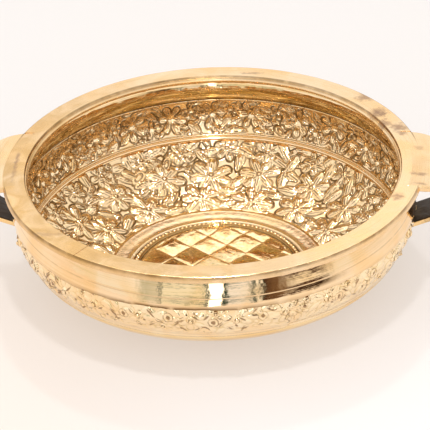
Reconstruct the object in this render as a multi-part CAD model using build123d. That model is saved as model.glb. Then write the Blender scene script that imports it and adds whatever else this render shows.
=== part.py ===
from build123d import *
import math
import os

# Brass urli bowl with two fixed loop handles, brazed up from sheet and flat bar.
# Millimetres. +Z is up, the handles lie on +X and -X, and the origin is the centre of the
# flat base, so the bowl stands on the plane Z = 0.

# Driving dimensions
rim_radius = 150.0            # outer radius of the flat rim
bowl_height = 92.0            # base to rim top
ear_tip = 177.0               # centre to the tip of an ear
sheet = 1.6                   # thickness of the spun and pressed sheets
base_radius = 62.0            # flat the bowl rests on

# Rim: a flat ring with a stepped moulding on its inner edge
rim_thickness = 4.8
rim_top_inner = 134.6         # where the flat top ends at the moulding
rim_lip_radius = 132.2        # innermost edge
rim_lip_drop = 3.2            # how far that edge lies below the top
rim_step = 0.5                # width of the fine step in the moulding
rim_edge_draft = 0.6          # the outer edge leans out by this much
rim_edge_rounding = 1.1
seam_angle = 234.8            # where the ring's two ends meet, counter-clockwise from +X
seam_width = 0.4
seam_depth = 0.5

# Collar: neck under the rim and a flared skirt over the wall
neck_radius = 140.4           # outer radius of the neck
step_z = 70.6                 # fine step line between neck and skirt
step_width = 0.6
skirt_radius = 144.0          # outer radius of the skirt
skirt_shoulder_z = 66.6       # where the flare reaches that radius
skirt_bottom_z = 63.2
scallops = 7                  # the hammered lower edge rises and falls this many times
scallop_depth = 0.9

# Wall: the embossed band between the collar and the floor
band_radius = skirt_radius - sheet
band_top_z = 68.0
band_swell = 1.0              # how far it swells below the skirt
band_shoulder_radius = 140.0  # outer radius where its straight foot begins
band_shoulder_z = 44.0
band_foot_radius = 136.4
band_foot_z = 36.0

# Dish: outer profile from the flat base to the foot of the wall, as (radius, height)
dish_profile = [(88.5, 5.4), (110.3, 14.6), (126.6, 25.8)]
dish_rise_at_foot = 66.0      # degrees, slope of the profile where it meets the wall
rolled_edge_z = 41.0          # top of the dish's edge inside the wall
ridge_tube = 1.3
ridge_standoff = 1.6          # from the wall's inner face to the beads' centre line
ridge_heights = (39.8, 37.3)  # the two beads of the rolled edge

# Centre disc
disc_radius = 65.4
disc_thickness = 1.3
field_radius = 57.2           # the faceted field
facet_diagonal = 27.0         # across one facet, corner to corner
facet_turn = 6.0              # the pattern is turned a little from the handles
facet_corner = (8.1, 5.3)     # where four facets meet, as the disc was cut off centre
facet_height = 1.3
facet_flat = 0.8              # small flat left on each facet's top
bead_radius = 61.3            # centre line of the beaded ring
bead_tube = 2.0
bead_rise = 1.2               # how far the ring stands above the disc
groove_radii = (58.6, 64.0)
groove_tube = 0.45

# Ears and straps
handle_y = 7.0                # both handles sit this far behind the bowl's middle
ear_half_width = 39.0
ear_seat_radius = 141.8       # the ear is let into the rim as far as this
ear_thickness = 4.4
ear_rounding = 1.3
ear_shoulder = 146.0          # the lobe's straight sides end here
ear_bend_start = 139.0
ear_slope = 0.10              # fall of the top surface at the bend, per mm outwards
ear_curl = 1 / 300            # how fast that fall grows
strap_width = 28.0
strap_thickness = 3.8
strap_rounding = 1.2
strap_rise = 21.0             # degrees, slope of the strap as it leaves the wall
strap_inner_end = (132.0, 40.0)
strap_outer_x = 168.0
strap_bend_radius = 20.0

# Derived
rim_bottom = bowl_height - rim_thickness
neck_inner = neck_radius - sheet
disc_top = sheet + disc_thickness


def xz(radius, height):
    """A point of the XZ half-plane that the bowl's profiles are drawn in."""
    return (radius, 0, height)


def spun(edges):
    """Solid of revolution about Z from a closed loop of edges in the XZ plane."""
    return revolve(make_face(edges), Axis.Z)


def spun_outline(points):
    """Solid of revolution about Z from a closed outline of (radius, height) points."""
    return spun(Polyline(*[xz(*point) for point in points], close=True).edges())


def rounded_corner(radius, height, first_turn):
    """Points of an eased outer corner of the rim, a quarter turn in four facets, clockwise."""
    turns = [math.radians(first_turn + 22.5 * step) for step in range(5)]
    return [
        (radius + rim_edge_rounding * math.sin(turn), height + rim_edge_rounding * math.cos(turn))
        for turn in turns
    ]


def biggest(shape):
    """The largest solid of a shape that a cut has left in pieces."""
    return max(shape.solids(), key=lambda solid: solid.volume)


def make_rim_ring():
    """Flat ring: stepped inner moulding, rounded outer edge, butt seam and the two ear seats."""
    lip_top = bowl_height - rim_lip_drop
    step_z_low = lip_top + rim_lip_drop / 2
    step_radius = (rim_lip_radius + rim_top_inner) / 2
    ring = spun_outline([
        (rim_lip_radius, rim_bottom),
        (rim_lip_radius, lip_top),
        (step_radius, step_z_low),
        (step_radius + rim_step, step_z_low),
        (rim_top_inner, bowl_height),
        *rounded_corner(rim_radius - rim_edge_draft - rim_edge_rounding, bowl_height - rim_edge_rounding, 0),
        *rounded_corner(rim_radius - rim_edge_rounding, rim_bottom + rim_edge_rounding, 90),
    ])

    seam_length = rim_radius - rim_top_inner + 4
    seam = Pos(rim_top_inner + seam_length / 2, 0, bowl_height) * Box(seam_length, seam_width, 2 * seam_depth)
    ring -= Rot(0, 0, seam_angle) * seam
    for side in (1, -1):
        ring -= ear_seat(side)
    return ring


def ear_seat(side):
    """The notch in the rim that takes one ear, open outwards."""
    depth = 30
    place = Pos(side * (rim_radius + depth / 2 - 18), handle_y, bowl_height)
    notch = place * Box(depth, 2 * ear_half_width, depth)
    return notch - Cylinder(ear_seat_radius, 4 * bowl_height)


def make_neck_collar():
    """Spun collar: straight neck, a fine step line and a flared skirt with a hammered lower edge."""
    skirt_inner = skirt_radius - sheet
    collar = spun_outline([
        (neck_inner, rim_bottom),
        (neck_radius, rim_bottom),
        (neck_radius, step_z),
        (neck_radius + step_width, step_z - step_width / 2),
        (skirt_radius, skirt_shoulder_z),
        (skirt_radius, skirt_bottom_z),
        (skirt_inner, skirt_bottom_z),
        (skirt_inner, band_top_z),
        (neck_inner, step_z + 1.2),
    ])
    scallop_span = 2 * math.pi * skirt_radius / scallops * 0.7
    scallop_radius = scallop_span ** 2 / (8 * scallop_depth)
    for index in range(scallops):
        cutter = Pos(skirt_radius, 0, skirt_bottom_z + scallop_depth - scallop_radius)
        cutter *= Rot(0, 90, 0) * Cylinder(scallop_radius, 14)
        cutter &= Pos(skirt_radius, 0, skirt_bottom_z) * Box(16, scallop_span, 6)
        collar -= Rot(0, 0, (index + 0.5) * 360 / scallops) * cutter
    return collar


def band_outer_edges():
    """Outer line of the wall: under the skirt, swelling below it, then its straight foot."""
    top = xz(band_radius, band_top_z)
    skirt_line = xz(band_radius, skirt_bottom_z - 2)
    shoulder = xz(band_shoulder_radius, band_shoulder_z)
    foot = xz(band_foot_radius, band_foot_z)
    foot_direction = Vector(*shoulder) - Vector(*foot)
    swell = Spline(
        skirt_line,
        xz(band_radius + band_swell, 57.0),
        shoulder,
        tangents=[(0.25, 0, -1), -foot_direction.normalized()],
    )
    return [Line(top, skirt_line), swell, Line(shoulder, foot)]


def make_side_band():
    """Sheet wall, tucked under the skirt at its top and standing on the dish's shoulder."""
    outer = band_outer_edges()
    inner = [edge.translate((-sheet, 0, 0)) for edge in outer]
    top = Line(outer[0] @ 0, inner[0] @ 0)
    bottom = Line(outer[-1] @ 1, inner[-1] @ 1)
    return spun(outer + inner + [top, bottom])


def dish_outer_spline():
    """Outer profile of the dish from the edge of the flat base up to the foot of the wall."""
    rise = math.radians(dish_rise_at_foot)
    return Spline(
        xz(base_radius, 0),
        *[xz(*point) for point in dish_profile],
        xz(band_foot_radius, band_foot_z),
        tangents=[(1, 0, 0), (math.cos(rise), 0, math.sin(rise))],
    )


def inner_line(height):
    """The wall's inner radius at a height on its straight foot."""
    lean = (band_shoulder_radius - band_foot_radius) / (band_shoulder_z - band_foot_z)
    return band_foot_radius - sheet + (height - band_foot_z) * lean


def make_floor_dish():
    """Pressed dish whose edge stands inside the wall and is rolled into a double bead."""
    outer = dish_outer_spline()
    inside_points = []
    for share in (0.16, 0.3, 0.45, 0.6, 0.75, 0.9, 1.0):
        along = outer % share
        inside_points.append((outer @ share) + Vector(-along.Z, 0, along.X) * sheet)
    disc_corner = Vector(disc_radius, 0, disc_top)
    inner = Spline(disc_corner, *inside_points)
    edge_top = Vector(inner_line(rolled_edge_z), 0, rolled_edge_z)
    edge_inside = edge_top - Vector(sheet, 0, 0)
    dish = spun([
        Line(xz(0, 0), xz(base_radius, 0)),
        outer,
        Line(outer @ 1, xz(inner_line(band_foot_z), band_foot_z)),
        Line(xz(inner_line(band_foot_z), band_foot_z), edge_top),
        Line(edge_top, edge_inside),
        Line(edge_inside, inner @ 1),
        inner,
        Line(disc_corner, xz(disc_radius, sheet)),
        Line(xz(disc_radius, sheet), xz(0, sheet)),
        Line(xz(0, sheet), xz(0, 0)),
    ])
    for height in ridge_heights:
        dish += Pos(0, 0, height) * Torus(inner_line(height) - ridge_standoff, ridge_tube)
    return dish


def make_floor_medallion():
    """Pressed centre disc: a field of square facets inside a beaded ring and two fine grooves."""
    disc = Pos(0, 0, sheet + disc_thickness / 2) * Cylinder(disc_radius, disc_thickness)
    field = Pos(0, 0, disc_top + facet_height / 2) * Cylinder(field_radius, facet_height)
    pitch = facet_diagonal / math.sqrt(2)
    lines = int(field_radius / pitch) + 2
    half_valley = (pitch - facet_flat) / 2
    valley = Polyline((-half_valley, facet_height), (0, 0), (half_valley, facet_height), close=True)
    valley = extrude(Plane.XZ * make_face(valley), 2 * field_radius, both=True)
    crossing = Pos(*facet_corner, disc_top)
    for turn in (45 + facet_turn, 135 + facet_turn):
        for index in range(-lines, lines + 1):
            field -= crossing * Rot(0, 0, turn) * Pos(index * pitch, 0, 0) * valley
    disc += field
    disc += Pos(0, 0, disc_top + bead_rise - bead_tube) * Torus(bead_radius, bead_tube) & upper_half()
    for radius in groove_radii:
        disc -= Pos(0, 0, disc_top) * Torus(radius, groove_tube)
    return disc


def upper_half():
    """Everything above the underside of the centre disc."""
    return Pos(0, 0, sheet + bowl_height / 2) * Box(4 * rim_radius, 4 * rim_radius, bowl_height)


def ear_fall(x):
    """How far the ear's top surface has dropped at a distance x from the centre."""
    reach = max(0.0, x - ear_bend_start)
    return ear_slope * reach + ear_curl * reach ** 2


def ear_side_view(side):
    """Slab with the ear's drooping side view, wider than the ear."""
    stations = [ear_bend_start + (ear_tip + 4 - ear_bend_start) * step / 4 for step in range(5)]
    top = Spline(*[xz(side * x, bowl_height - ear_fall(x)) for x in stations])
    bottom = top.translate((0, 0, -ear_thickness))
    start = side * (ear_seat_radius - 12)
    corner_top = xz(start, bowl_height)
    corner_bottom = xz(start, bowl_height - ear_thickness)
    outline = [
        Line(corner_top, top @ 0), top, Line(top @ 1, bottom @ 1), bottom,
        Line(bottom @ 0, corner_bottom), Line(corner_bottom, corner_top),
    ]
    margin = 5
    slab = extrude(make_face(outline), 2 * (ear_half_width + margin), dir=(0, 1, 0))
    return Pos(0, handle_y - ear_half_width - margin, 0) * slab


def make_ear_plate(side):
    """Broad rounded lobe let into the rim, flush with it and drooping outwards."""
    start = ear_seat_radius - 10
    straight = Rectangle(ear_shoulder - start, 2 * ear_half_width)
    straight = Pos(side * (start + ear_shoulder) / 2, handle_y) * straight
    lobe = Pos(side * ear_shoulder, handle_y) * Ellipse(ear_tip - ear_shoulder, ear_half_width)
    plan = extrude(straight + lobe, 2 * bowl_height)
    plate = (ear_side_view(side) & plan) - Cylinder(ear_seat_radius, 4 * bowl_height)
    outline = [
        edge for edge in plate.edges()
        if abs(edge.center().X) > ear_seat_radius and edge.length > 1.5 * ear_thickness
    ]
    return fillet(outline, ear_rounding)


def make_handle_strap(side, wall, ear):
    """Flat bar bent from the wall up to the underside of the ear."""
    rise = math.radians(strap_rise)
    start_x, start_z = strap_inner_end
    corner_z = start_z + (strap_outer_x - start_x) * math.tan(rise)
    path = FilletPolyline(
        xz(side * start_x, start_z),
        xz(side * strap_outer_x, corner_z),
        xz(side * strap_outer_x, bowl_height + 2),
        radius=strap_bend_radius,
    )
    section_plane = Plane(origin=path @ 0, x_dir=(0, 1, 0), z_dir=path % 0)
    bar = sweep(section_plane * RectangleRounded(strap_width, strap_thickness, strap_rounding), path)
    return biggest(Pos(0, handle_y, 0) * bar - wall - ear)


os.makedirs("parts", exist_ok=True)
parts = {
    "rim_ring": make_rim_ring(),
    "neck_collar": make_neck_collar(),
    "side_band": make_side_band(),
    "floor_dish": make_floor_dish(),
    "floor_medallion": make_floor_medallion(),
}
for name, side in (("right", 1), ("left", -1)):
    ear = make_ear_plate(side)
    parts[f"{name}_ear_plate"] = ear
    parts[f"{name}_handle_strap"] = make_handle_strap(side, parts["side_band"], ear)
for name, shape in parts.items():
    export_step(shape, f"parts/{name}.step")
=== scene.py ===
import bpy
import math
import numpy as np
from mathutils import Matrix, Vector


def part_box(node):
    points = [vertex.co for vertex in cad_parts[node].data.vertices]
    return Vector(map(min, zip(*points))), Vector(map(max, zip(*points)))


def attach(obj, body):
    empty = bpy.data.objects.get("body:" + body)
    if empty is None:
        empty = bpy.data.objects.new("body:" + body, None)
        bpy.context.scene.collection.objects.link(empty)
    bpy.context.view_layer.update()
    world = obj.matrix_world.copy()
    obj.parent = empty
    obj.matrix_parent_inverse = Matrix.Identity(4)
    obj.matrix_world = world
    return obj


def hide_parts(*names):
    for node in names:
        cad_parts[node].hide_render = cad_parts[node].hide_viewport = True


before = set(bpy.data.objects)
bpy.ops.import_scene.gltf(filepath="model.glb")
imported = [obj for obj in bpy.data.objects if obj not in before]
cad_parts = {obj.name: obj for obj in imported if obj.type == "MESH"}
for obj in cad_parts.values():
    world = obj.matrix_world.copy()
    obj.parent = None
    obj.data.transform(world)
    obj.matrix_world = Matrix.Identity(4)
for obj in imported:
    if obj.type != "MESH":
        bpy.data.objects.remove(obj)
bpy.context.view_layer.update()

# Brass urli bowl, in the CAD model's frame: +Z up, handles on +X and -X, standing on Z = 0.
# Relief is worked out in millimetres and turned into metres where a mesh is made.
MM = 0.001
_, rim_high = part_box("rim_ring")
rim_radius = rim_high.y / MM         # the ear seats cut into the ring on X
rim_top = rim_high.z / MM
collar_low, collar_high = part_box("neck_collar")
band_low, band_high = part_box("side_band")
wall_radius = 142.0                  # of the wall's outside, about half way up
disc_low, disc_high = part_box("floor_medallion")
disc_radius = disc_high.x / MM
disc_base = disc_low.z / MM
disc_top = disc_base + 1.3           # without its mouldings
field_radius = 57.2                  # the lozenges' field
groove_radii = (58.6, 64.0)          # the two fine grooves of the disc's border
bead_radius = 61.3                   # the beaded ring between them
draws = np.random.default_rng(41)


# -------- reading the CAD model

probe_angle = math.radians(17.0)     # clear of every seam, notch and handle
near_axis, beyond_bowl, below_bowl = 60.0, 200.0, -20.0    # where rays start


def probe(node, radius, height, outwards, upwards):
    """Radius and height in mm where a ray in one half-plane through the axis meets a CAD node."""
    across = Vector((math.cos(probe_angle), math.sin(probe_angle), 0))
    start = across * radius * MM + Vector((0, 0, height * MM))
    direction = across * outwards + Vector((0, 0, upwards))
    met, place, _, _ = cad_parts[node].ray_cast(start, direction)
    if not met:
        raise ValueError(f"no surface of {node} at radius {radius}, height {height}")
    return math.hypot(place.x, place.y) / MM, place.z / MM


def from_above(node, radii):
    return [probe(node, radius, rim_top, 0, -1) for radius in radii]


def from_below(node, radii):
    return [probe(node, radius, below_bowl, 0, 1) for radius in radii]


def from_axis(node, heights):
    return [probe(node, near_axis, height, 1, 0) for height in heights]


def from_outside(node, heights):
    return [probe(node, beyond_bowl, height, -1, 0) for height in heights]


def spaced(outline, steps):
    """An outline of (radius, height) points, redrawn with evenly spaced points."""
    outline = np.array(outline)
    run = np.concatenate([[0], np.cumsum(np.hypot(*np.diff(outline, axis=0).T))])
    places = np.linspace(0, run[-1], steps + 1)
    return np.stack([np.interp(places, run, outline[:, 0]), np.interp(places, run, outline[:, 1])], axis=1)


# -------- meshes of revolution

def all_round(count):
    """Angles of evenly spaced columns, once round the bowl."""
    return np.arange(count) * 2 * math.pi / count


def half_turned(angles):
    """The same angles, from minus half a turn to half a turn."""
    return (angles + math.pi) % (2 * math.pi) - math.pi


def hill(distance, width):
    """1 at no distance, falling off smoothly to either side."""
    return np.exp(-(distance / width) ** 2)


def slopes(outline):
    """Unit normals of an outline, to the left of its direction, in the (radius, height) plane."""
    along = np.gradient(outline, axis=0)
    along /= np.hypot(*along.T)[:, None]
    return np.stack([-along[:, 1], along[:, 0]], axis=1)


def spun_mesh(name, outline, angles, offsets, values, rises=0.0):
    """Closed mesh of revolution from a closed outline, each point moved by offsets[row, column]
    along the outline's normal and by rises upwards. values are float attributes of that shape."""
    rows, columns = len(outline), len(angles)
    normals = slopes(np.concatenate([outline[-1:], outline, outline[:1]]))[1:-1]
    radius = outline[:, :1] + normals[:, :1] * offsets
    height = outline[:, 1:] + normals[:, 1:] * offsets + rises
    points = np.stack([radius * np.cos(angles), radius * np.sin(angles), height], axis=2) * MM
    row, column = np.meshgrid(np.arange(rows), np.arange(columns), indexing="ij")
    next_row, next_column = (row + 1) % rows, (column + 1) % columns
    corners = [
        row * columns + column,
        row * columns + next_column,
        next_row * columns + next_column,
        next_row * columns + column,
    ]
    faces = np.stack(corners, axis=2).reshape(-1, 4)
    mesh = bpy.data.meshes.new(name)
    mesh.from_pydata(points.reshape(-1, 3).tolist(), [], faces.tolist())
    for label, value in values.items():
        layer = mesh.attributes.new(label, "FLOAT", "POINT")
        layer.data.foreach_set("value", value.astype(np.float32).ravel())
    return add_piece(name, mesh)


def add_object(name, data):
    item = bpy.data.objects.new(name, data)
    bpy.context.scene.collection.objects.link(item)
    return item


def add_piece(name, mesh):
    """A new smooth-shaded object of the bowl, riding on its one body."""
    mesh.polygons.foreach_set("use_smooth", [True] * len(mesh.polygons))
    mesh.update()
    piece = add_object(name, mesh)
    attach(piece, "root")
    return piece


# -------- pressed ornament

def blank_relief(along, radius, angles):
    """An unmarked surface: rows at distances along it and at their radii, columns at angles."""
    shape = (len(along), len(angles))
    return {
        "along": along,
        "radius": radius,
        "angles": angles,
        "inside": np.full(shape, -9.0),    # how far inside the deepest element, mm
        "second": np.full(shape, -9.0),    # how far inside the next deepest
        "vein": np.full(shape, 9.0),       # distance from the nearest chased line
        "lift": np.zeros(shape),
        "swell": np.zeros(shape),          # broad dome under each flower
        "tone": np.full(shape, 0.5),
        "mark": np.full(shape, -4.0),      # how far inside a punched or scratched mark, mm
    }


def press(relief, place, angle, turn, length, width, form, lift=0.0):
    """Adds one element: a petal, a leaf or a round bead, pointing at turn from up the surface."""
    half_length, half_width = length / 2, width / 2
    margin = 3.0
    rows = np.flatnonzero(np.abs(relief["along"] - place) < half_length + margin)
    if len(rows) == 0:
        return
    reach = (half_length + margin) / relief["radius"][rows].min()
    swing = half_turned(relief["angles"] - angle)
    columns = np.flatnonzero(np.abs(swing) < reach)
    up = (relief["along"][rows] - place)[:, None]
    round_it = relief["radius"][rows][:, None] * swing[columns][None, :]
    u = up * math.cos(turn) + round_it * math.sin(turn)
    v = round_it * math.cos(turn) - up * math.sin(turn)
    if form == "leaf":
        # Two curves that meet in points, with a midrib and slanting side veins
        inside = (1 - (u / half_length) ** 2 - np.abs(v) / half_width) * half_width * 0.85
        rib = half_length * 0.3
        side_veins = np.abs((u + 0.9 * np.abs(v)) % rib - rib / 2)
        vein = np.where(np.abs(u) < half_length * 0.75, np.minimum(np.abs(v), side_veins + 0.15), 9.0)
    elif form == "bead":
        distance = np.hypot(u, v)
        inside = half_width - distance + 0.4
        vein = np.abs(distance - half_width * 0.55)
    else:
        # An oval, fuller towards its outer end
        fuller = 1 + 0.32 * u / half_length
        share = np.hypot(u / half_length, v / (half_width * np.clip(fuller, 0.4, 2)))
        inside = (1 - share) * half_width
        if form == "petal":
            vein = np.abs(share - 0.55) * half_width
        else:
            midrib = np.where(u < half_length * 0.2, np.abs(v), 9.0)
            side_ribs = np.abs(np.abs(v) - half_width * 0.45) + 0.1
            vein = np.minimum(midrib, side_ribs)
    block = np.ix_(rows, columns)
    before = relief["inside"][block]
    wins = inside > before
    relief["second"][block] = np.where(wins, before, np.maximum(relief["second"][block], inside))
    relief["inside"][block] = np.where(wins, inside, before)
    relief["vein"][block] = np.where(wins, vein, relief["vein"][block])
    relief["lift"][block] = np.where(wins, lift, relief["lift"][block])
    relief["tone"][block] = np.where(wins, draws.random(), relief["tone"][block])


def nearby(relief, place, angle, reach):
    """The block of a relief within reach of a point, and its distances up and round from there."""
    rows = np.flatnonzero(np.abs(relief["along"] - place) < reach)
    swing = half_turned(relief["angles"] - angle)
    columns = np.flatnonzero(np.abs(swing) * relief["radius"][rows].mean() < reach)
    up = (relief["along"][rows] - place)[:, None]
    round_it = relief["radius"][rows][:, None] * swing[columns][None, :]
    return np.ix_(rows, columns), up, round_it


def dome(relief, place, angle, size, height):
    """A broad bump that the elements over it ride on."""
    block, up, round_it = nearby(relief, place, angle, 2.5 * size)
    relief["swell"][block] += height * np.exp(-(up ** 2 + round_it ** 2) / size ** 2)


def scratch(relief, place, angle, turn, length, width):
    """A short tapering stroke of the chasing tool."""
    block, up, round_it = nearby(relief, place, angle, length / 2 + 2)
    u = up * math.cos(turn) + round_it * math.sin(turn)
    v = round_it * math.cos(turn) - up * math.sin(turn)
    inside = width / 2 * (1 - (2 * u / length) ** 2) - np.abs(v)
    relief["mark"][block] = np.maximum(relief["mark"][block], inside)


def punch(relief, place, angle, size, ring=0.0):
    """A round punched hole, with a scribed ring round it if one is given."""
    block, up, round_it = nearby(relief, place, angle, size + ring + 2)
    distance = np.hypot(up, round_it)
    inside = size - distance
    if ring:
        inside = np.maximum(inside, 0.5 - np.abs(distance - ring))
    relief["mark"][block] = np.maximum(relief["mark"][block], inside)


def flower(relief, place, angle, petals, bead, reach, width, turn):
    """Petals round a raised bead."""
    radius_there = np.interp(place, relief["along"], relief["radius"])
    dome(relief, place, angle, 0.55 * reach, 0.07 * reach)
    form = "petal" if draws.random() < 0.1 else "ribbed petal"
    for index in range(petals):
        points = turn + 2 * math.pi * index / petals + draws.normal(0, 0.06)
        length = reach * draws.uniform(0.85, 1.12)
        distance = bead + length / 2 - 0.6
        press(
            relief,
            place + distance * math.cos(points),
            angle + distance * math.sin(points) / radius_there,
            points, length, width * draws.uniform(0.9, 1.1), form,
        )
    press(relief, place, angle, 0.0, 2 * bead, 2 * bead, "bead", lift=0.6)


filler_forms = ("leaf", "petal", "ribbed petal", "bead")
filler_shares = (0.42, 0.05, 0.47, 0.06)


def fill_with_leaves(relief, low, high, tries, sizes, turns, clearance):
    """Leaves and small petals wherever the ground is bare for at least the clearance in mm."""
    for _ in range(tries):
        place = draws.uniform(low, high)
        angle = draws.uniform(0, 2 * math.pi)
        row = np.abs(relief["along"] - place).argmin()
        column = int(angle / (2 * math.pi) * len(relief["angles"])) % len(relief["angles"])
        if relief["inside"][row, column] > -clearance:
            continue
        length = draws.uniform(*sizes)
        form = filler_forms[draws.choice(len(filler_forms), p=filler_shares)]
        width = length * draws.uniform(0.4, 0.5)
        if form == "bead":
            length = width = draws.uniform(2.8, 3.8)
        press(relief, place, angle, draws.choice(turns) + draws.normal(0, 0.3), length, width, form)


def edges_of(relief):
    """Signed distance in mm to the nearest outline: positive inside an element."""
    return np.minimum(relief["inside"], relief["inside"] - relief["second"])


def eased(value, low, high):
    """0 below low and 1 above high, with a smooth step between them."""
    share = np.clip((value - low) / (high - low), 0, 1)
    return share * share * (3 - 2 * share)


def raised(relief, edge):
    """Height in mm that the elements stand above their ground, creased along their chased lines."""
    outline_rise, crown_rise, crease_depth = 0.75, 0.7, 0.4
    shoulders = outline_rise * eased(edge, -0.7, 0.8) + crown_rise * eased(edge, 0.2, 3.2)
    crease = crease_depth * (1 - eased(relief["vein"], 0.0, 0.9)) * eased(edge, 0.3, 1.2)
    return shoulders - crease + relief["lift"] * eased(edge, 0, 1.8) + relief["swell"]


def unmarked_values(shape):
    """Attributes of plain metal on the outside of the bowl, as the embossed materials read them."""
    starts = {"edge": 4.0, "vein": 9.0, "tone": 0.5, "mark": -4.0, "inner": 0.0, "plain": 0.0}
    return {label: np.full(shape, start) for label, start in starts.items()}


# -------- the dish and its floor

def make_dish():
    """Floor with its all-over flowers, the rolled double bead and the plain underside."""
    columns = 900
    angles = all_round(columns)
    field_start, field_top = 79.5, 35.4    # the flowers begin at this radius and end at this height
    steep_radius, edge_top = 131.8, 40.9   # where the dish turns up, and its rolled edge's top
    foot_z, shoulder_z, flat_radius = 35.5, 9.0, 63.0
    inside = from_above("floor_dish", np.arange(disc_radius + 0.4, steep_radius, 1.0))
    inside += from_axis("floor_dish", np.arange(inside[-1][1] + 0.5, edge_top, 0.25))
    border = spaced([point for point in inside if point[0] < field_start], 10)
    field = [point for point in inside if point[0] > field_start and point[1] < field_top]
    field = spaced([border[-1]] + field, 82)
    beads = spaced([field[-1]] + [point for point in inside if point[1] > field_top], 26)
    top = np.array([[beads[-1][0] + 1.2, beads[-1][1]]])
    outside = from_outside("floor_dish", np.arange(foot_z, shoulder_z, -2.0))
    outside += from_below("floor_dish", np.arange(outside[-1][0] - 3, flat_radius, -3.0))
    outside = spaced(outside + [(flat_radius - 3, 0.0)], 30)
    # The outline stops 2 mm short of the axis, under the disc.
    centre = np.array([[2.0, 0.0], [2.0, disc_base], [disc_radius - 0.2, disc_base]])
    outline = np.concatenate([border, field[1:], beads[1:], top, outside, centre])

    run = np.concatenate([[0], np.cumsum(np.hypot(*np.diff(field, axis=0).T))])
    relief = blank_relief(run, field[:, 0], angles)
    # Rows of flowers: distance from the border, how many, petals, bead radius, reach, petal width
    rows = [
        (12.6, 14, 7, 2.4, 14.5, 8.2),
        (35.4, 17, 7, 2.4, 14.0, 7.8),
        (55.5, 24, 6, 2.1, 9.0, 6.0),
    ]
    for number, (place, count, petals, bead, reach, width) in enumerate(rows):
        for index in range(count):
            flower(
                relief,
                place + draws.normal(0, 1.3),
                2 * math.pi * (index + 0.5 * number) / count + draws.normal(0, 0.018),
                petals, bead, reach, width, draws.uniform(0, 2 * math.pi),
            )
    turns = (0.6, -0.6, 1.2, -1.2, 2.2)
    for sizes, clearance in (((13.0, 19.0), 2.0), ((7.5, 11.0), 1.2)):
        fill_with_leaves(relief, 2.0, run[-1] - 1.0, 2500, sizes, turns, clearance)
    edge = edges_of(relief)
    fade = eased(run, 0.5, 4.0)[:, None] * (1 - eased(run, run[-1] - 1.0, run[-1]))[:, None]
    height = 1.2 * raised(relief, edge) * fade

    shape = (len(outline), columns)
    offsets = np.zeros(shape)
    values = unmarked_values(shape)
    first = len(border) - 1
    block = slice(first, first + len(field))
    offsets[block] = height
    values["edge"][block] = np.where(fade > 0.3, np.clip(edge, -4, 4), 4)
    values["vein"][block] = np.where(fade > 0.5, relief["vein"], 9)
    values["tone"][block] = relief["tone"]
    values["inner"][:block.stop + len(beads)] = 1.0
    # The plain border stands 1 mm proud and runs down into the field.
    share = np.linspace(0, 1, first + 1)[:, None]
    offsets[:first + 1] += eased(share, 0.0, 0.7)
    offsets[first + 1:first + 5] += 1.0 - np.linspace(0.2, 0.8, 4)[:, None]
    # The plain border and the rolled double bead are made rougher and painted whiter, a painted sheen.
    plainness = 0.3
    values["plain"][:first] = plainness
    values["plain"][block.stop:block.stop + len(beads)] = plainness
    piece = spun_mesh("pressed_floor_dish", outline, angles, offsets, values)
    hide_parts("floor_dish")
    return piece


# -------- the wall

def outside_marks(along, radius, angles):
    """What shows on the outside of the wall: punched dots, each with slanted strokes about it."""
    relief = blank_relief(along, radius, angles)
    count, middle = 58, 16.5
    for index in range(count):
        angle = 2 * math.pi * (index + draws.normal(0, 0.12)) / count
        # Large ringed dots and small plain ones take turns: offset, size, ring radius
        offset, size, ring = (2.0, 1.7, 3.4) if index % 2 == 0 else (-2.5, 1.2, 0.0)
        place = middle + draws.normal(0, 1.6) + offset
        if draws.random() < 0.85:
            punch(relief, place, angle, size, ring)
        for side in (-1, 1):
            for way in (-1, 1):
                if draws.random() < 0.25:
                    continue
                slant = math.pi / 2 + way * side * draws.uniform(0.35, 0.85)
                step = side * draws.uniform(4.2, 6.0) / wall_radius
                lift = way * draws.uniform(3.0, 6.0)
                length = draws.uniform(6.0, 10.0)
                scratch(relief, place + lift, angle + step, slant, length, draws.uniform(1.2, 1.9))
                if draws.random() < 0.6:
                    scratch(relief, place + lift + 2.2, angle + step, slant, 0.8 * length, 1.2)
    return relief["mark"]


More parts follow.
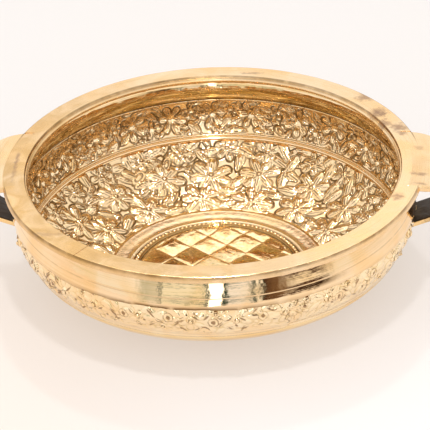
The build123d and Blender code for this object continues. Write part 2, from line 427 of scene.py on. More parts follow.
def make_band():
    """Wall sheet: flowers stand out on its inside; outside are soft dents and punched marks."""
    columns, rows = 1200, 42
    angles = all_round(columns)
    low, high = band_low.z / MM, band_high.z / MM
    heights = np.linspace(high - 0.05, low + 0.05, rows)
    inner = np.array(from_axis("side_band", heights))
    outer = np.array(from_outside("side_band", heights[::-1]))
    outline = np.concatenate([inner, outer])[::-1]
    along = (heights[::-1] - low)[:, None]

    relief = blank_relief(along[:, 0], inner[::-1, 0], angles)
    count = 27
    for index in range(count):
        # A large flower, then the small one after it: petals, bead radius, reach and petal width
        angle = 2 * math.pi * index / count + draws.normal(0, 0.015)
        flower(relief, 18.0 + draws.normal(0, 1.2), angle, 6, 3.0, 9.0, 5.4, draws.uniform(0, 6))
        between = angle + math.pi / count
        flower(relief, 16.0 + draws.choice((-4.5, 6.5)), between, 5, 2.1, 5.8, 3.6, draws.uniform(0, 6))
    turns = (0.6, -0.6, 0.9, -0.9, 1.5)
    fill_with_leaves(relief, 5.5, 29.5, 2000, (10.0, 14.5), turns, clearance=1.6)
    fill_with_leaves(relief, 5.5, 30.0, 1500, (6.5, 9.0), turns, clearance=1.0)
    edge = edges_of(relief)
    fade = eased(along, 4.0, 6.0) * (1 - eased(along, 29.5, 31.0))
    height = 1.6 * raised(relief, edge) * fade

    # Outside: punched marks, fainter in places
    mark = outside_marks(along[:, 0], outer[:, 0], angles)
    strength = 0.5 + 0.5 * np.sin(3 * angles + 2.2) * np.sin(5 * angles + 0.7)
    mark = mark - 0.25 * (1 - strength)
    # A wavering seam where the sheet laps over itself, as a step and a dark line that thins upwards
    lap_thickness = 0.6
    lap_angle = math.radians(-66.4) + 0.012 * np.sin(along * 0.35) + 0.008 * np.sin(along * 0.9)
    past_lap = (angles[None, :] - lap_angle) % (2 * math.pi)
    lap = lap_thickness * (past_lap < math.pi) * (1 - eased(past_lap, 0.0, 0.5))
    mark = np.maximum(mark, 0.8 - np.abs(half_turned(past_lap) * wall_radius + 0.4) - 0.03 * along)
    foot_bead = 0.45 * hill(along - 1.8, 1.3)
    above_foot = eased(along, 4.5, 6.5)
    mark = np.where(above_foot > 0.5, mark, -4)
    outlines = 0.6 * eased(edge, -0.6, 1.8) - 0.4 * hill(edge - 0.2, 0.7)
    dents = -0.5 * relief["swell"] - outlines * fade
    outer_mark = above_foot * dents - 0.6 * eased(mark, -0.5, 0.6) * above_foot + lap + foot_bead

    shape = (2 * rows, columns)
    outside, inside = slice(0, rows), slice(rows, 2 * rows)
    offsets = np.zeros(shape)
    # The outline runs down the outside first, so its rows there are in falling order of height.
    offsets[outside] = -outer_mark[::-1]
    offsets[inside] = -height
    values = unmarked_values(shape)
    values["vein"][outside] = np.where(above_foot > 0.5, np.abs(edge - 0.2), 9.0)[::-1]
    values["mark"][outside] = np.clip(mark, -4, 4)[::-1]
    values["edge"][inside] = np.where(fade > 0.2, np.clip(edge, -4, 4), 4)
    values["vein"][inside] = relief["vein"]
    values["tone"][inside] = relief["tone"]
    values["inner"][inside] = 1.0
    piece = spun_mesh("embossed_side_band", outline, angles, offsets, values)
    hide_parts("side_band")
    return piece


# -------- the collar

def make_collar():
    """Neck and skirt spun from one sheet: a flaring cove, a fine step and a wavy lower edge."""
    columns = 720
    angles = all_round(columns)
    top, bottom = collar_high.z / MM, collar_low.z / MM
    cove = [(138.4, top), (138.5, 83.3), (139.55, 80.0), (140.6, 76.9), (141.65, 74.0), (142.75, 71.2)]
    step = [(142.82, 70.9), (142.75, 70.6), (142.83, 70.3)]
    skirt = [(143.0, 69.8), (143.65, 67.8), (144.25, 65.8), (144.8, bottom + 0.6), (144.6, bottom)]
    under = [(143.9, bottom - 0.05), (142.9, bottom)]
    inside = [(142.9, 67.4), (140.4, 68.3), (140.1, 68.8), (139.8, 71.0), (139.3, 74.0), (138.5, 77.0)]
    # A fold just under the rim's lip, uneven enough to glint in places.
    fold = [(138.0, 78.6), (137.6, 79.0), (136.7, 79.5), (136.7, 80.1), (137.4, 81.3), (137.4, top)]
    stretches = {"cove": cove, "step": step, "skirt": skirt, "under": under, "inside": inside + fold}
    outline = np.array([point for points in stretches.values() for point in points][::-1])
    names = np.array([name for name, points in stretches.items() for _ in points][::-1])

    shape = (len(outline), columns)
    hem = (outline[:, 1] < bottom + 0.8) & (outline[:, 0] > 142.5)
    front = hill(half_turned(angles + math.radians(97)), 0.5)    # where the hem is brownest
    waves = 0.45 * np.sin(7 * angles + 1.0) + 0.3 * np.sin(23 * angles) + 0.18 * np.sin(61 * angles + 2)
    rises = np.zeros(shape)
    rises[hem] = waves - 0.5
    folded = outline[:, 0] < 137.0
    glints = np.sin(151 * angles) * np.sin(97 * angles + 1)
    glints = glints + 0.6 * np.sin(117 * angles) * np.sin(29 * angles)
    offsets = np.zeros(shape)
    offsets[folded] = 0.1 * glints
    # Painted shade in dark brown where shade falls: all of the collar's underside, the hem's lower edge as
    # a shadow line that is darkest at the front, the fine step, and the inside's foot just above the band.
    values = {label: np.zeros(shape) for label in ("painted_shade", "inner")}
    values["painted_shade"][names == "under"] = 1.0
    values["painted_shade"][hem & (names == "skirt")] = 0.1 + 0.9 * front
    values["painted_shade"][names == "step"] = 0.25
    values["painted_shade"][(names == "inside") & (outline[:, 1] < 69)] = 0.8
    # A painted dark reflection: a brown band round 303 degrees on the skirt's upper part.
    dark_reflection_streak = (names == "skirt") & (outline[:, 1] > 67)
    values["painted_shade"][dark_reflection_streak] = 0.75 * hill(angles - math.radians(303), 0.12)
    values["inner"][names == "inside"] = 1.0
    # The fold keeps only a fifth of the inside's darker colour: a painted highlight along it.
    values["inner"][(outline[:, 0] < 137.5) & (outline[:, 1] < 82)] = 0.2
    piece = spun_mesh("spun_neck_collar", outline, angles, offsets, values, rises)
    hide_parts("neck_collar")
    return piece


# -------- the centre disc

facet_pitch = 27.0 / math.sqrt(2)    # side of one lozenge
facet_corner = (8.1, 5.3)            # where four lozenges meet
facet_turn = math.radians(51.0)      # direction of one side, from +X
# How each lozenge near the middle leans, in degrees towards the front; the others alternate.
leans_forward = {
    (0, 2): 8.0, (1, 1): 7.8, (1, 2): 8.5, (2, 0): 7.6, (-1, 3): 7.6, (0, 3): 8.5, (2, 1): 8.5,
    (-1, 2): 5.6, (0, 1): 5.8, (1, 0): 5.6, (2, -1): 3.0,
    (-2, 2): -0.5, (-1, 1): -1.0, (0, 0): 3.2, (1, -1): 0.6,
    (-2, 1): -1.5, (-1, 0): 3.2, (0, -1): -2.0, (1, -2): -2.0, (-1, -1): 2.5,
}


def make_facets():
    """Field of flat-topped lozenges that lean different ways, with a sunk figure in their middles."""
    # Lines across one lozenge, closer together by its sides.
    shares = (0, 0.025, 0.05, 0.085, 0.13, 0.2, 0.3, 0.4, 0.5, 0.6, 0.7, 0.8, 0.87, 0.915, 0.95, 0.975)
    reach = int(field_radius / facet_pitch) + 2
    steps = (np.arange(-reach, reach)[:, None] + np.array(shares)).ravel()
    first, second = np.meshgrid(steps, steps, indexing="ij")
    across, along = math.cos(facet_turn), math.sin(facet_turn)
    x = facet_corner[0] + facet_pitch * (first * across - second * along)
    y = facet_corner[1] + facet_pitch * (first * along + second * across)
    column, row = np.floor(first).astype(int), np.floor(second).astype(int)
    a, b = first - column - 0.5, second - row - 0.5
    middle_x = (a * across - b * along) * facet_pitch
    middle_y = (a * along + b * across) * facet_pitch
    forward = np.zeros(x.shape)
    sideways = np.zeros(x.shape)
    for i in range(-reach, reach):
        for j in range(-reach, reach):
            cell = (column == i) & (row == j)
            forward[cell] = leans_forward.get((i, j), 3.0 * ((i + j) % 2) + draws.normal(0, 0.6))
            sideways[cell] = draws.normal(0, 0.9)
    lean = middle_y * np.tan(np.radians(forward)) + middle_x * np.tan(np.radians(sideways))
    rise, crown_rise, figure_depth, squareness = 0.2, 0.22, 0.14, 26
    top = (1 - (2 * a) ** squareness) * (1 - (2 * b) ** squareness)
    crown = crown_rise * (1 - (2 * a) ** 2) * (1 - (2 * b) ** 2)
    figure = hill(np.maximum(np.abs(a), np.abs(b) * 1.25) - 0.2, 0.05)
    height = top * (rise + lean) + crown - figure_depth * figure
    # Points beyond the field are drawn in to its edge.
    limit = field_radius + 0.1
    distance = np.hypot(x, y)
    kept = distance < limit
    shrink = np.where(kept, 1, limit / np.maximum(distance, 1))
    points = np.stack([x * shrink, y * shrink, disc_top + np.where(kept, height, 0)], axis=2) * MM
    size = len(steps)
    index = np.arange(size * size).reshape(size, size)
    corners = [index[:-1, :-1], index[1:, :-1], index[1:, 1:], index[:-1, 1:]]
    corners = np.stack(corners, axis=2).reshape(-1, 4)
    corners = corners[kept.ravel()[corners].any(axis=1)]
    used, faces = np.unique(corners, return_inverse=True)
    mesh = bpy.data.meshes.new("facet_field")
    mesh.from_pydata(points.reshape(-1, 3)[used].tolist(), [], faces.reshape(-1, 4).tolist())
    piece = add_piece("facet_field", mesh)
    thickness = piece.modifiers.new("thickness", "SOLIDIFY")
    thickness.thickness = 1.0 * MM
    thickness.offset = -1.0
    return piece


def make_disc_border():
    """Rim of the disc: two fine grooves and the round moulding that carries the beads."""
    moulding_radius, moulding_sunk = 2.0, 0.8
    start = field_radius - 0.6
    radii = np.linspace(start, disc_radius - 0.1, 44)
    grooves = sum(0.4 * hill(radii - middle, 0.35) for middle in groove_radii)
    inside_moulding = np.maximum(0.0, moulding_radius ** 2 - (radii - bead_radius) ** 2)
    moulding = np.maximum(0.0, np.sqrt(inside_moulding) - moulding_sunk)
    top = np.stack([radii, disc_top + moulding - grooves], axis=1)
    side = [(disc_radius, disc_top - 0.3), (disc_radius, disc_base + 0.05), (start, disc_base + 0.05)]
    outline = np.concatenate([top, side])
    angles = all_round(240)
    shape = (len(outline), len(angles))
    piece = spun_mesh("disc_border", outline, angles, np.zeros(shape), {"darker_ring": np.ones(shape)})
    return piece


def make_bead_ring():
    """The ribbed ring round the lozenges, as one row of small flattened beads."""
    count, size = 112, 1.5
    latitudes, longitudes = 5, 8
    lowest = -0.2                        # where a bead starts, as an angle from its widest ring
    points, faces = [], []
    for index in range(count):
        angle = 2 * math.pi * index / count
        swell = size * draws.uniform(0.88, 1.1)
        centre = Vector((bead_radius * math.cos(angle), bead_radius * math.sin(angle), disc_top + 0.9))
        first = len(points)
        for latitude in range(latitudes + 1):
            rise = lowest + (math.pi / 2 - lowest) * latitude / latitudes
            for longitude in range(longitudes):
                turn = 2 * math.pi * longitude / longitudes + angle
                points.append(centre + Vector((
                    swell * math.cos(rise) * math.cos(turn),
                    swell * math.cos(rise) * math.sin(turn),
                    0.8 * swell * math.sin(rise),
                )))
        for latitude in range(latitudes):
            lower = first + latitude * longitudes
            upper = lower + longitudes
            for longitude in range(longitudes):
                after = (longitude + 1) % longitudes
                faces.append((lower + longitude, lower + after, upper + after, upper + longitude))
        faces.append(tuple(first + longitude for longitude in reversed(range(longitudes))))
    mesh = bpy.data.meshes.new("bead_ring")
    mesh.from_pydata([point * MM for point in points], [], faces)
    piece = add_piece("bead_ring", mesh)
    return piece


# -------- materials

class Nodes:
    """Short calls for building a material's or the world's nodes.
    Inputs are sockets, numbers or colours."""

    def __init__(self, owner):
        owner.use_nodes = True
        self.tree = owner.node_tree
        self.shader = self.tree.nodes.get("Principled BSDF")

    def add(self, kind, output, inputs, **settings):
        node = self.tree.nodes.new(kind)
        for key, value in settings.items():
            setattr(node, key, value)
        for key, value in inputs.items():
            self.put(node.inputs[key], value)
        return node.outputs[output]

    def put(self, socket, value):
        if isinstance(value, bpy.types.NodeSocket):
            self.tree.links.new(value, socket)
        else:
            socket.default_value = value

    def maths(self, operation, first, second=0.0):
        return self.add("ShaderNodeMath", 0, {0: first, 1: second}, operation=operation)

    def times(self, first, *others):
        for other in others:
            first = self.maths("MULTIPLY", first, other)
        return first

    def plus(self, first, *others):
        for other in others:
            first = self.maths("ADD", first, other)
        return first

    def minus(self, first, second):
        return self.maths("SUBTRACT", first, second)

    def between(self, value, low, high):
        """0 at low and 1 at high, smoothly. low may be above high."""
        inputs = {"Value": value, "From Min": low, "From Max": high}
        return self.add("ShaderNodeMapRange", 0, inputs, interpolation_type="SMOOTHSTEP")

    def mix(self, factor, first, second):
        inputs = {"Factor": factor, 6: first, 7: second}
        return self.add("ShaderNodeMix", 2, inputs, data_type="RGBA")

    def noise(self, vector, scale, detail=3.0, distortion=0.0):
        inputs = {"Vector": vector, "Scale": scale, "Detail": detail, "Distortion": distortion}
        return self.add("ShaderNodeTexNoise", 0, inputs)

    def patches(self, vector, scale, low, high, detail=3.0, distortion=0.0):
        """Soft-edged patches: 0 where the noise is below low, 1 where it is above high."""
        return self.between(self.noise(vector, scale, detail, distortion), low, high)

    def place(self):
        return self.add("ShaderNodeTexCoord", "Object", {})

    def parts(self, vector):
        node = self.tree.nodes.new("ShaderNodeSeparateXYZ")
        self.put(node.inputs[0], vector)
        return node.outputs[0], node.outputs[1], node.outputs[2]

    def joined(self, x, y, z):
        return self.add("ShaderNodeCombineXYZ", 0, {0: x, 1: y, 2: z})

    def attribute(self, name):
        return self.add("ShaderNodeAttribute", "Fac", {}, attribute_name=name)

    def bump(self, height, distance, normal=None):
        inputs = {"Height": height, "Distance": distance, "Strength": 1.0}
        if normal is not None:
            inputs["Normal"] = normal
        return self.add("ShaderNodeBump", 0, inputs)

    def away_from_axis(self, place):
        """Distance from the bowl's axis and the angle round it."""
        x, y, _ = self.parts(place)
        squares = self.plus(self.times(x, x), self.times(y, y))
        return self.maths("SQRT", squares), self.maths("ARCTAN2", y, x)

    def line(self, value, middle, half_width):
        """1 where a value is within half_width of the middle, fading out beyond."""
        away = self.maths("ABSOLUTE", self.minus(value, middle))
        return self.between(away, half_width * 1.6, half_width * 0.5)


WHITE_BRASS = (1.0, 0.84, 0.62, 1)
PALE_BRASS = (0.97, 0.77, 0.47, 1)
WARM_BRASS = (0.95, 0.67, 0.33, 1)
PALE_PEACH = (0.96, 0.735, 0.475, 1)
WARM_PEACH = (0.94, 0.64, 0.33, 1)
AMBER_BRASS = (0.66, 0.45, 0.16, 1)
DARK_BROWN = (0.15, 0.075, 0.014, 1)
PURPLE_STAIN = (0.36, 0.22, 0.13, 1)
HOLLOW_BROWN = (0.15, 0.075, 0.012, 1)
PALE_INNER = (1.0, 0.80, 0.53, 1)
WARM_INNER = (0.98, 0.71, 0.39, 1)
MARK_BROWN = (0.24, 0.12, 0.05, 1)
PATINA = (0.66, 0.42, 0.17, 1)
DULL_GOLD = (0.42, 0.27, 0.08, 1)
RING_BROWN = (0.36, 0.20, 0.06, 1)
SOOT = (0.012, 0.008, 0.006, 1)
BROWN_SOOT = (0.05, 0.03, 0.016, 1)
WALL_LIGHT = (1.0, 0.83, 0.57, 1)
WALL_WARM = (0.99, 0.73, 0.43, 1)


def brass(name):
    """A new metal material and the object's own coordinates."""
    material = bpy.data.materials.new(name)
    n = Nodes(material)
    n.shader.inputs["Metallic"].default_value = 1.0
    return material, n, n.place()


def lathe_lines(n, place):
    """Fine lines left by turning: they change with radius and height and hardly with angle."""
    radius, angle = n.away_from_axis(place)
    _, _, height = n.parts(place)
    return n.noise(n.joined(radius, height, n.times(angle, 0.004)), 900.0, detail=4.0)


def turned_colour(n, place, low, high, strength):
    """What rim and collar share: their lathe lines, their mottling, and a colour with both in it."""
    lines = lathe_lines(n, place)
    mottle = n.patches(place, 28.0, 0.35, 0.7, detail=5.0, distortion=0.6)
    colour = n.mix(mottle, PALE_PEACH, WARM_PEACH)
    return lines, mottle, n.mix(n.times(n.between(lines, low, high), strength), colour, AMBER_BRASS)


def turned_finish(n, place, colour, mottle, lines, roughness):
    """Wires up colour, a roughness drawn out along the turning, and its fine relief."""
    n.put(n.shader.inputs["Base Color"], colour)
    rough = n.plus(n.times(mottle, 0.08), roughness)
    n.put(n.shader.inputs["Roughness"], n.plus(rough, n.times(lines, 0.1)))
    n.shader.inputs["Anisotropic"].default_value = 0.55
    n.put(n.shader.inputs["Tangent"], n.add("ShaderNodeTangent", 0, {}, direction_type="RADIAL", axis="Z"))
    fine = n.bump(lines, 0.00004)
    n.put(n.shader.inputs["Normal"], n.bump(n.noise(place, 60.0), 0.0003, fine))


def rim_brass(name, stains):
    """Lathe-polished rim and ears: mottled, with brown lines at its edges and stains given in mm."""
    material, n, place = brass(name)
    x, y, _ = n.parts(place)
    radius, _ = n.away_from_axis(place)
    lines, mottle, colour = turned_colour(n, place, 0.5, 0.8, 0.4)
    # Browner with age on the left
    left = n.between(n.plus(x, n.times(y, 0.5)), 0.03, -0.14)
    on_ring = n.between(radius, 0.1505, 0.1495)    # and not on the ears
    left = n.times(left, on_ring)
    patina = n.plus(n.times(n.patches(place, 55.0, 0.3, 0.65, detail=5.0, distortion=0.8), 0.55), 0.45)
    aged = n.plus(n.times(left, 0.75), 0.2)
    colour = n.mix(n.times(aged, patina), colour, PATINA)
    worn = n.patches(place, 75.0, 0.3, 0.6, detail=4.0, distortion=0.3)
    worn = n.plus(n.times(worn, 0.55), 0.45)
    away_from_ears = n.between(n.maths("ABSOLUTE", x), 0.147, 0.143)
    # Brown lines in the metal's edges: radius and half width in mm, and strength
    edge_lines = (
        (rim_radius - 1.0, 0.45, n.times(away_from_ears, 0.7)),
        (134.3, 0.4, 0.6),
        (133.2, 0.25, 0.4),
    )
    for middle, half_width, strength in edge_lines:
        edge_line = n.line(radius, middle * MM, half_width * MM)
        edge_line = n.times(edge_line, n.times(worn, strength))
        colour = n.mix(edge_line, colour, DARK_BROWN)
    wobble = n.noise(place, 230.0, detail=8.0)
    for middle_x, middle_y, width, depth, strength in stains:
        dx = n.maths("DIVIDE", n.minus(x, middle_x * MM), width * MM)
        dy = n.maths("DIVIDE", n.minus(y, middle_y * MM), depth * MM)
        away = n.maths("SQRT", n.plus(n.times(dx, dx), n.times(dy, dy)))
        edge = n.plus(away, n.times(n.minus(wobble, 0.5), 3.2))
        mask = n.times(n.between(edge, 1.7, 0.1), strength)
        colour = n.mix(mask, colour, PURPLE_STAIN)
    turned_finish(n, place, colour, mottle, lines, roughness=0.15)
    return material


def collar_brass(name):
    """Neck and skirt: bright outside; inside darker and streaked, a painted dark reflection; brown painted
    shade in the step, at the hem and underneath, and a painted dark reflection on the skirt.
    """
    material, n, place = brass(name)
    x, y, z = n.parts(place)
    lines, mottle, colour = turned_colour(n, place, 0.48, 0.75, 0.35)
    # The inside is coloured darker than the outside, with dull gold streaks: painted dark reflections.
    inside = n.mix(n.between(lines, 0.38, 0.6), PALE_BRASS, AMBER_BRASS)
    drawn_out = n.joined(n.times(x, 0.15), n.times(y, 0.15), z)
    inside_reflection_streaks = n.patches(drawn_out, 330.0, 0.45, 0.65)
    inside = n.mix(n.times(inside_reflection_streaks, 0.75), inside, DULL_GOLD)
    colour = n.mix(n.attribute("inner"), colour, inside)
    # Painted shade and a painted dark reflection, broken up by noise.
    painted_shade = n.times(n.attribute("painted_shade"), n.patches(place, 90.0, 0.25, 0.5))
    colour = n.mix(painted_shade, colour, DARK_BROWN)
    turned_finish(n, place, colour, mottle, lines, roughness=-0.03)
    return material


def embossed_brass(name, light, warm, groove_shade):
    """Chased brass of two given colours, with brown painted shade in the hollows along every outline and
    chased line.
    """
    material, n, place = brass(name)
    edge = n.attribute("edge")
    vein = n.attribute("vein")
    inner = n.attribute("inner")
    wander = n.times(n.minus(n.noise(place, 260.0), 0.5), 0.8)
    loose_edge = n.plus(edge, wander)
    # Painted shade: brown along every outline, and inside the bowl along the chased lines, where shade
    # falls in the hollows.
    groove = n.times(n.between(loose_edge, 0.3, 0.0), n.between(loose_edge, -0.9, -0.4))
    uneven = n.patches(place, 110.0, 0.35, 0.6, detail=2.0)
    groove = n.times(groove, n.plus(n.times(uneven, 0.6), 0.4))
    line = n.times(n.between(vein, 0.5, 0.12), n.between(edge, 0.4, 0.8))
    inner_line = n.times(line, 0.8, inner)
    deep = n.maths("MAXIMUM", groove, inner_line)
    mark = n.between(n.plus(n.attribute("mark"), n.times(wander, 0.5)), -0.15, 0.3)
    mottle = n.patches(place, 45.0, 0.35, 0.7, detail=5.0, distortion=0.5)
    colour = n.mix(inner, n.mix(mottle, light, warm), n.mix(mottle, PALE_INNER, WARM_INNER))
    colour = n.mix(n.times(n.attribute("tone"), 0.22), colour, AMBER_BRASS)
    # Plain metal is painted whiter: a painted sheen.
    colour = n.mix(n.attribute("plain"), colour, n.mix(mottle, WHITE_BRASS, PALE_BRASS))
    # Outside, the chased lines are shaded amber in patches: painted shade.
    outer_line_shade = n.times(n.between(vein, 0.7, 0.1), n.minus(1.0, inner))
    colour = n.mix(n.times(outer_line_shade, uneven, 0.5), colour, AMBER_BRASS)
    # The hollows' painted shade, in brown.
    colour = n.mix(n.times(deep, groove_shade), colour, HOLLOW_BROWN)
    colour = n.mix(n.times(mark, 0.8), colour, MARK_BROWN)
    n.put(n.shader.inputs["Base Color"], colour)
    rough = n.plus(n.times(mottle, 0.08), 0.07)
    rough = n.plus(rough, n.times(n.attribute("plain"), 0.2))
    n.put(n.shader.inputs["Roughness"], n.plus(rough, n.times(deep, 0.3)))
    carved = n.bump(n.times(deep, -1.0), 0.0006)
    n.put(n.shader.inputs["Normal"], n.bump(n.noise(place, 240.0), 0.00008, carved))
    return material


def pressed_brass(name):
    """Machine-pressed brass of the centre disc: bright facets, swirled, in a border darkened brown under
    the beads.
    """
    material, n, place = brass(name)
    radius, _ = n.away_from_axis(place)
    mottle = n.patches(place, 90.0, 0.35, 0.68, detail=4.0, distortion=1.2)
    colour = n.mix(mottle, PALE_BRASS, WARM_BRASS)
    swirl = n.patches(place, 170.0, 0.5, 0.62, distortion=2.5)
    colour = n.mix(n.times(swirl, 0.45), colour, AMBER_BRASS)
    # The moulding under the beads is coloured darker brown.
    ring = n.times(n.line(radius, bead_radius * MM, 3.0 * MM), n.attribute("darker_ring"))
    colour = n.mix(n.times(ring, 0.85), colour, RING_BROWN)
    for middle in groove_radii:
        colour = n.mix(n.line(radius, middle * MM, 0.5 * MM), colour, DARK_BROWN)
    colour = n.mix(n.between(radius, 0.0643, 0.0648), colour, WHITE_BRASS)
    n.put(n.shader.inputs["Base Color"], colour)
    n.put(n.shader.inputs["Roughness"], n.plus(n.times(mottle, 0.08), 0.07))
    n.put(n.shader.inputs["Normal"], n.bump(n.noise(place, 130.0, detail=2.0, distortion=1.0), 0.00016))
    return material


def blackened_brass(name):
    """Handle bar: soot-black where the buffing wheel couldn't reach, rubbed brass on its edges."""
    material, n, place = brass(name)
    _, ny, nz = n.parts(n.add("ShaderNodeNewGeometry", "Normal", {}))
    patch = n.noise(place, 120.0, detail=5.0, distortion=0.5)
    side = n.between(n.maths("ABSOLUTE", ny), 0.55, 0.85)
    under = n.between(nz, -0.1, -0.5)
    rubbed = n.times(n.maths("MAXIMUM", side, under), n.between(patch, 0.3, 0.5))
    soot = n.mix(patch, SOOT, BROWN_SOOT)
    n.put(n.shader.inputs["Base Color"], n.mix(rubbed, soot, WARM_BRASS))
    n.put(n.shader.inputs["Metallic"], n.plus(n.times(rubbed, 0.6), 0.4))
    n.put(n.shader.inputs["Roughness"], n.plus(n.times(patch, 0.25), 0.2))
    n.put(n.shader.inputs["Normal"], n.bump(patch, 0.0005))
    return material


def stage_paper(name):
    """The pale floor: matt paper lit from beneath as a light table is, so shadows stay faint."""
    material = bpy.data.materials.new(name)
    n = Nodes(material)
    place = n.place()
    x, y, _ = n.parts(place)
    colour = n.mix(n.noise(place, 1.6, detail=2.0), (0.42, 0.415, 0.42, 1), (0.425, 0.425, 0.435, 1))
    n.put(n.shader.inputs["Base Color"], colour)
    front_left = n.between(n.plus(x, n.times(y, 0.7)), -0.08, -0.28)
    glow = n.mix(n.between(y, 0.25, -0.2), (0.355, 0.33, 0.305, 1), (0.505, 0.455, 0.425, 1))
    glow = n.mix(front_left, glow, (0.46, 0.37, 0.295, 1))
    n.put(n.shader.inputs["Emission Color"], glow)
    n.shader.inputs["Emission Strength"].default_value = 1.0
    n.shader.inputs["Roughness"].default_value = 0.8
    n.shader.inputs["Specular IOR Level"].default_value = 0.1
    return material


def dress(piece, material):
    """Gives a piece or a CAD node one material all over."""
    piece.data.materials.clear()
    piece.data.materials.append(material)


# -------- stage, light and camera

def make_stage():
    """A round sheet of paper under the bowl."""
    count, reach = 96, 1.5
    turns = [2 * math.pi * index / count for index in range(count)]
    mesh = bpy.data.meshes.new("stage_floor")
    points = [(reach * math.cos(turn), reach * math.sin(turn), 0) for turn in turns]
    mesh.from_pydata(points, [], [range(count)])
    floor = add_object("stage_floor", mesh)
    dress(floor, stage_paper("stage_paper"))


def ramp(n, value, low, high, stops):
    """A colour that changes with a value, from stops of (value, colour)."""
    node = n.tree.nodes.new("ShaderNodeValToRGB")
    n.put(node.inputs[0], n.maths("DIVIDE", n.minus(value, low), high - low))
    elements = node.color_ramp.elements
    elements.remove(elements[1])
    elements[0].position = 0.0
    elements[0].color = (*stops[0][1], 1)
    for at, colour in stops:
        elements.new((at - low) / (high - low)).color = (*colour, 1)
    return node.outputs[0]


def make_world():
    """A pale studio, and in front of the bowl a darker room with a framed window and a brown
    corner, and one tall lamp, for the collar to mirror."""
    world = bpy.data.worlds.new("studio")
    bpy.context.scene.world = world
    n = Nodes(world)
    x, y, z = n.parts(n.add("ShaderNodeTexCoord", "Generated", {}))
    # In degrees: azimuth from the front, -Y, towards +X, and elevation above the horizon
    degree = math.degrees(1)
    azimuth = n.times(n.maths("ARCTAN2", x, n.times(y, -1.0)), degree)
    elevation = n.times(n.maths("ARCSINE", z), degree)
    sky = ramp(n, elevation, -10.0, 90.0, [
        (-10, (0.74, 0.72, 0.69)), (15, (0.86, 0.84, 0.82)), (24, (0.95, 0.93, 0.93)),
        (28, (0.92, 0.90, 0.91)), (30.5, (0.93, 0.89, 0.86)), (32.5, (0.78, 0.74, 0.69)),
        (45, (0.76, 0.72, 0.68)), (65, (0.82, 0.78, 0.75)), (88, (0.92, 0.89, 0.86)),
    ])
    beige, teal, brown = (0.78, 0.77, 0.67), (0.03, 0.06, 0.05), (0.07, 0.035, 0.02)
    blue_grey, white = (0.78, 0.79, 0.83), (0.9, 0.88, 0.85)
    room = ramp(n, azimuth, -60.0, 60.0, [
        (-40, (0.84, 0.81, 0.78)), (-35, (0.50, 0.50, 0.42)), (-27, (0.62, 0.60, 0.52)),
        (-26, teal), (-25, beige), (-2.2, beige), (-1.4, teal), (9.4, teal), (10, blue_grey),
        (21, blue_grey), (21.7, teal), (23.5, teal), (24, white), (26, white), (27, teal), (28.5, brown),
        (37, (0.17, 0.10, 0.055)), (47, (0.80, 0.76, 0.70)),
    ])
    frame_lines = n.maths("MAXIMUM", n.line(elevation, 1.8, 0.8), n.line(elevation, 10.6, 0.8))
    frame_lines = n.times(frame_lines, n.line(azimuth, -2.0, 20.0))
    room = n.mix(n.times(frame_lines, 0.85), room, (*teal, 1))
    skirting = n.times(n.line(azimuth, 52.0, 12.0), n.between(elevation, 2.5, 1.0))
    room = n.mix(skirting, room, (*brown, 1))
    low = n.between(elevation, 17.0, 14.5)
    ahead = n.times(n.between(azimuth, -45.0, -40.0), n.between(azimuth, 70.0, 64.0))
    colour = n.mix(n.times(low, ahead), sky, room)
    lamp = n.times(n.between(azimuth, -0.2, 0.8), n.between(azimuth, 6.8, 5.8))
    lamp = n.times(lamp, n.between(elevation, 80.0, 70.0))
    colour = n.mix(lamp, colour, (2.6, 2.6, 2.6, 1))
    background = n.tree.nodes["Background"]
    n.put(background.inputs["Color"], colour)
    background.inputs["Strength"].default_value = 1.27


def direction(azimuth, elevation):
    """Unit vector at degrees from the front, -Y, towards +X, and degrees above the horizon."""
    azimuth, elevation = math.radians(azimuth), math.radians(elevation)
    return Vector((
        math.sin(azimuth) * math.cos(elevation),
        -math.cos(azimuth) * math.cos(elevation),
        math.sin(elevation),
    ))


def make_light(name, azimuth, elevation, distance, size, power, colour):
    """A square soft light that faces the bowl from a direction in degrees."""
    data = bpy.data.lights.new(name, "AREA")
    data.size = size
    data.energy = power
    data.color = colour
    light = add_object(name, data)
    away = direction(azimuth, elevation)
    facing = away.to_track_quat("Z", "Y").to_matrix().to_4x4()
    light.matrix_world = Matrix.Translation(distance * away) @ facing


def make_camera():
    """Camera ten rim radii from the middle of the rim, thirty degrees up."""
    azimuth, elevation = 4.65, 29.99
    tilt, roll = math.radians(-1.41), math.radians(2.55)
    distance = 10.01 * rim_radius * MM
    back = direction(azimuth, elevation)
    place = Vector((0, 0, rim_top * MM)) + distance * back
    right = Vector((math.cos(math.radians(azimuth)), math.sin(math.radians(azimuth)), 0))
    up = back.cross(right)
    tilting = Matrix.Rotation(tilt, 3, right)
    back, up = tilting @ back, tilting @ up
    rolling = Matrix.Rotation(roll, 3, -back)
    right, up = rolling @ right, rolling @ up
    data = bpy.data.cameras.new("camera")
    data.sensor_width = 36
    data.lens = 176.1
    camera = add_object("camera", data)
    camera.matrix_world = Matrix.Translation(place) @ Matrix((right, up, back)).transposed().to_4x4()
    bpy.context.scene.camera = camera


def around(angle_from_right, share):
    """A place on the rim's top in mm, at an angle in degrees and a share of the rim's radius."""
    angle = math.radians(angle_from_right)
    return share * rim_radius * math.cos(angle), share * rim_radius * math.sin(angle)


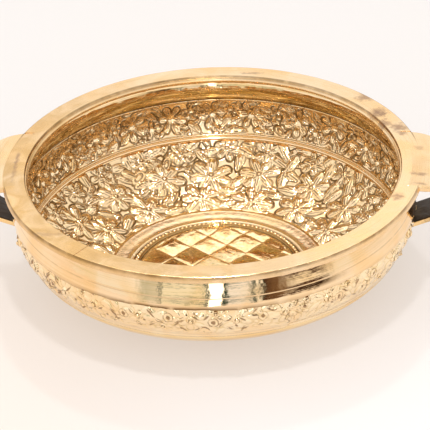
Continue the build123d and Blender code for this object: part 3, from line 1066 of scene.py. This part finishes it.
make_camera()
make_world()
make_stage()
make_light("high_key", 5.0, 74.0, 1.6, 0.10, 6.0, (1.0, 0.98, 0.95))
make_light("back_key", 185.0, 68.0, 1.6, 0.10, 4.0, (1.0, 0.98, 0.95))
make_light("back_soft", 190.0, 60.0, 1.9, 1.3, 3.5, (1.0, 0.97, 0.94))
bpy.context.scene.view_settings.view_transform = "Standard"

dish = make_dish()
band = make_band()
collar = make_collar()
facets = make_facets()
disc_border = make_disc_border()
beads = make_bead_ring()
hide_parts("floor_medallion")

# Stains on the rim: x and y, how far they spread along X and along Y in mm, and strength
rim_stains = [
    (*around(31.7, 0.929), 5.5, 6.5, 0.95),
    (*around(25.1, 0.905), 3.5, 5.0, 0.9),
    (*around(21.0, 0.955), 5.0, 5.5, 0.8),
    (*around(17.5, 0.950), 3.0, 3.0, 0.7),
    (*around(42.0, 0.975), 6.5, 5.5, 0.75),
    (*around(354.5, 0.984), 4.5, 2.0, 0.7),
    (*around(349.5, 1.000), 4.0, 1.5, 0.6),
    (*around(8.8, 0.995), 4.0, 3.0, 0.4),
    (*around(340.6, 0.926), 4.0, 4.0, 0.8),
    (*around(80.7, 0.934), 7.0, 1.6, 0.6),
    (*around(176.5, 0.947), 1.5, 10.0, 0.7),
    (*around(184.0, 0.945), 1.5, 9.0, 0.45),
    (*around(222.0, 0.950), 9.0, 2.5, 0.35),
]
rim_material = rim_brass("polished_brass", rim_stains)
floor_brass = embossed_brass("embossed_brass", PALE_BRASS, WARM_BRASS, groove_shade=0.92)
wall_brass = embossed_brass("embossed_brass_wall", WALL_LIGHT, WALL_WARM, groove_shade=0.85)
pressed = pressed_brass("pressed_brass")
black = blackened_brass("blackened_brass")
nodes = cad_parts
for name in ("rim_ring", "left_ear_plate", "right_ear_plate"):
    dress(nodes[name], rim_material)
for name in ("left_handle_strap", "right_handle_strap"):
    dress(nodes[name], black)
dress(collar, collar_brass("polished_brass_collar"))
dress(dish, floor_brass)
dress(band, wall_brass)
for piece in (facets, disc_border, beads):
    dress(piece, pressed)
